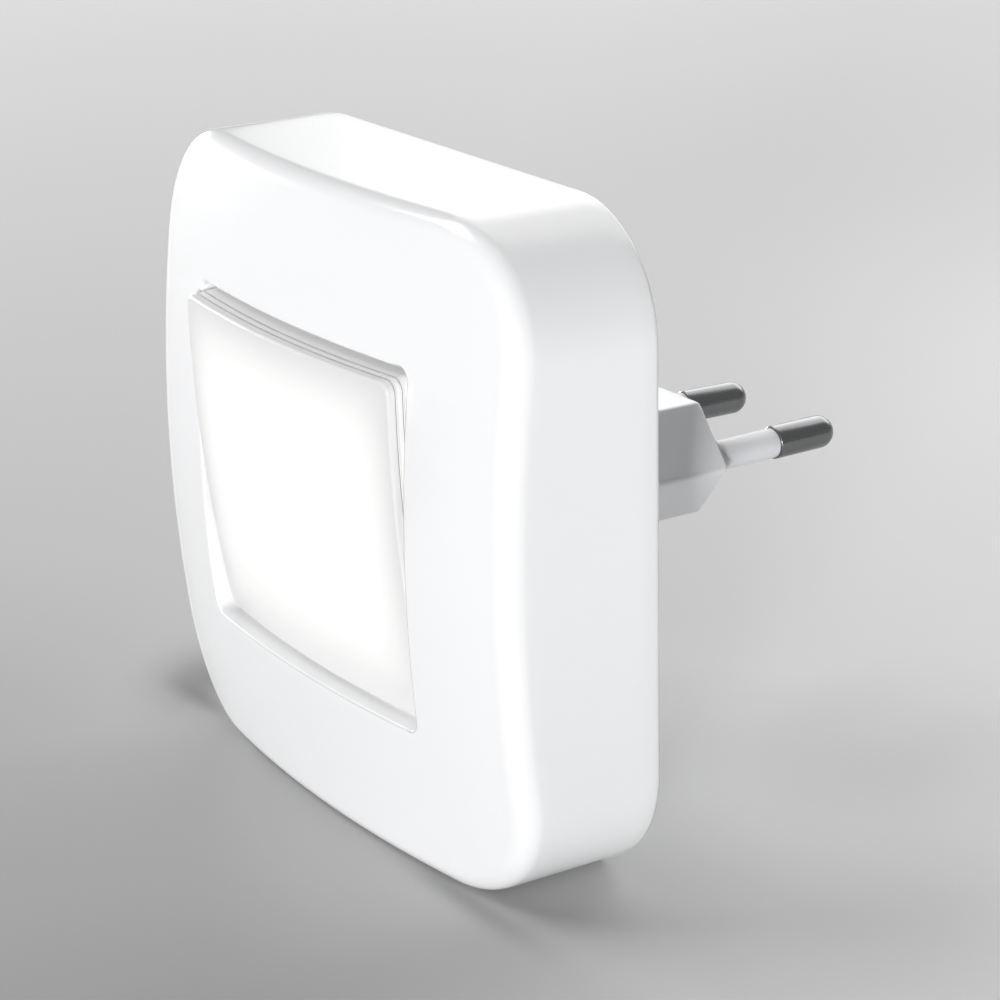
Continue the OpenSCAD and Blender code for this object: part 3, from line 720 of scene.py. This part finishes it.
def screw(x, z):
    """A screw on a plain shank. Its low domed head, which falls by HEAD_DOME (r / HEAD_R)^4, has a cross sunk
    in it, drawn as depth over a polar grid."""
    radii, steps = np.linspace(0, HEAD_R, 25)[1:], 96
    rings = [pole(Y_BACK - CROSS_MIDDLE)]
    for r in radii:
        xz = circle(0, 0, r, steps)
        near, far = np.abs(xz).min(1), np.abs(xz).max(1)
        cross = np.clip((CROSS_HALF_W - near) / 0.08, 0, 1) * np.clip((CROSS_REACH - far) / 0.25, 0, 1)
        rings.append(ring(xz, Y_BACK - HEAD_SINK - HEAD_DOME * (r / HEAD_R) ** 4 - CROSS_DEEP * cross))
    under, tip = circle(0, 0, SCREW_R, steps), Y_BACK - HEAD_T - SCREW_L
    rings += [ring(circle(0, 0, HEAD_R, steps), Y_BACK - HEAD_T), ring(under, Y_BACK - HEAD_T)]
    rings += [ring(under, tip), pole(tip)]
    return moved(skin(rings), (x, 0, z))


for side, hand in ((-1, "left"), (1, "right")):
    piece("contact_pin_" + hand + "_turned", [contact_pin(side)], "housing", nickel,
          ["contact_pin_" + hand])
    piece("pin_sleeve_" + hand + "_turned", [sleeve(side)], "housing", sleeve_white,
          ["pin_sleeve_" + hand])
piece("cover_screws_turned", [screw(x, z) for x, z in SCREW_PLACES], "housing", steel,
      ["cover_screws"])


# ---------------------------------------------------------------- floor, lamps and camera
def floor_finish():
    """The floor's tone, where across counts millimetres to the camera's right and far those away from it.
    Near the object it has painted shade at the left and painted light at the right, with a painted pale spot
    in its shadow. Painted shadows lie where the left side and the foot meet the floor."""
    plain, left_painted_shade, right_painted_light = 0.645, 0.25, 0.33
    f = Finish("floor_grey", Roughness=0.7, Specular_IOR_Level=0.2)
    x, y, _ = f.axes()
    across, far = x * RIGHT_X + y * RIGHT_Y, (y * RIGHT_X - x * RIGHT_Y).most(-90.0)
    near = ((far + 90.0) / -150.0).exp()
    right = (across / 60.0 - 0.1).tanh() * 0.5 + 0.5
    # Painted light and shade: darker at the left near the object and paler at the right.
    tone = plain + near * (right * (left_painted_shade + right_painted_light) - left_painted_shade)
    # Painted light to the right, farther away.
    tone = tone + right * f.hill(far, 150.0, 110.0) * 0.12
    # Painted light: a paler spot in the object's shadow in front of it at the right.
    tone = tone + f.spot((across, 8.0, 18.0), (far, -28.0, 28.0)) * 0.16
    # Painted shade at the left beside the object.
    tone = tone - (1.0 - right) * f.hill(far, 0.0, 45.0) * 0.11
    # A painted contact shadow where the left side meets the floor.
    tone = tone * (1.0 - f.spot((across, -58.0, 6.0), (far, 17.0, 10.0)) * 0.5)
    # Two painted contact shadows where the foot meets the floor.
    for along, out, width, share in ((-38.0, -43.6, 8.0, 0.3), (28.0, -46.5, 11.0, 0.34)):
        tone = tone * (1.0 - f.spot((x, along, width), (y, out, 1.7)) * share)
    f.give(Base_Color=f.mix(tone, grey(0.0), grey(1.0)))
    return f.material


def floor():
    """A wide flat grid under the object, in metres."""
    n, half = 41, 4.0
    x, y = np.meshgrid(np.linspace(-half, half, n), np.linspace(-half, half, n), indexing="ij")
    points = np.stack([x, y, np.full_like(x, FLOOR_Z * MM)], 2).reshape(-1, 3)
    i, j = np.meshgrid(np.arange(n - 1), np.arange(n - 1), indexing="ij")
    a = (i * n + j).ravel()
    faces = np.stack([a, a + n, a + n + 1, a + 1], 1).tolist()
    mesh = bpy.data.meshes.new("floor")
    mesh.from_pydata(points.tolist(), [], faces)
    mesh.materials.append(floor_finish())
    made = bpy.data.objects.new("floor", mesh)
    bpy.context.scene.collection.objects.link(made)


def lamp(name, way, distance, width, height, light):
    """A soft four-sided lamp that shines at the object from a direction, with its distance and size in
    metres. Light is what it gives a surface that faces it, where pi shows a colour as it is written."""
    aim = Vector((0, -0.03, 0))
    data = bpy.data.lights.new(name, "AREA")
    data.shape, data.size, data.size_y = "RECTANGLE", width, height
    data.energy = light * math.pi * distance ** 2
    made = bpy.data.objects.new(name, data)
    way = Vector(way).normalized()
    made.location = aim + way * distance
    made.rotation_mode = "QUATERNION"
    made.rotation_quaternion = (-way).to_track_quat("-Z", "Y")
    bpy.context.scene.collection.objects.link(made)


def room():
    """Light from all round: ROOM_TONE on surfaces, SHINE_TONE as shiny ones reflect it, and FAR_TONE as the
    camera sees it past the floor."""
    made = bpy.data.worlds.new("room")
    made.use_nodes = True
    nodes, links = made.node_tree.nodes, made.node_tree.links
    rays = nodes.new("ShaderNodeLightPath").outputs
    shine, seen = nodes.new("ShaderNodeMapRange"), nodes.new("ShaderNodeMapRange")
    shine.inputs["To Min"].default_value = ROOM_TONE
    shine.inputs["To Max"].default_value = SHINE_TONE
    seen.inputs["To Max"].default_value = FAR_TONE
    links.new(rays["Is Glossy Ray"], shine.inputs["Value"])
    links.new(rays["Is Camera Ray"], seen.inputs["Value"])
    links.new(shine.outputs["Result"], seen.inputs["To Min"])
    links.new(seen.outputs["Result"], nodes["Background"].inputs["Color"])
    bpy.context.scene.world = made


def camera():
    """The camera, placed as its sizes above say and rolled by ROLL about its own line of sight."""
    away = np.array([math.sin(AZIMUTH) * math.cos(ELEVATION), -math.cos(AZIMUTH) * math.cos(ELEVATION),
                     math.sin(ELEVATION)])
    level = np.array([math.cos(AZIMUTH), math.sin(AZIMUTH), 0.0])
    upright = np.cross(away, level)
    right = math.cos(ROLL) * level + math.sin(ROLL) * upright
    top = -math.sin(ROLL) * level + math.cos(ROLL) * upright
    eye = DISTANCE * away - SHIFT_X * right - SHIFT_Y * top + [0.0, Y_BACK, Z_HOUSE]
    data = bpy.data.cameras.new("camera")
    data.sensor_width, data.lens = SENSOR_W, FOCAL * SENSOR_W / VIEW_W
    data.clip_start, data.clip_end = 0.01, 20.0
    made = bpy.data.objects.new("camera", data)
    axes = Matrix(np.stack([right, top, away], 1))
    made.matrix_world = Matrix.Translation(Vector(eye * MM)) @ axes.to_4x4()
    bpy.context.scene.collection.objects.link(made)
    bpy.context.scene.camera = made


floor()
lamp("left_back_panel", (-0.43, 0.66, 0.62), 2.2, 2.3, 1.9, 1.65)
lamp("left_back_low", (-0.50, 0.78, 0.42), 2.2, 2.6, 1.4, 0.85)
lamp("left_low", (-1.0, -0.05, 0.1), 2.6, 1.6, 0.5, 2.6)
lamp("front_right", (0.70, -0.71, 0.07), 3.0, 0.5, 0.4, 2.95)
lamp("front_high", (-0.5, -0.4, 0.77), 3.0, 1.5, 1.5, 1.18)
room()
camera()
bpy.context.scene.view_settings.view_transform = "Standard"
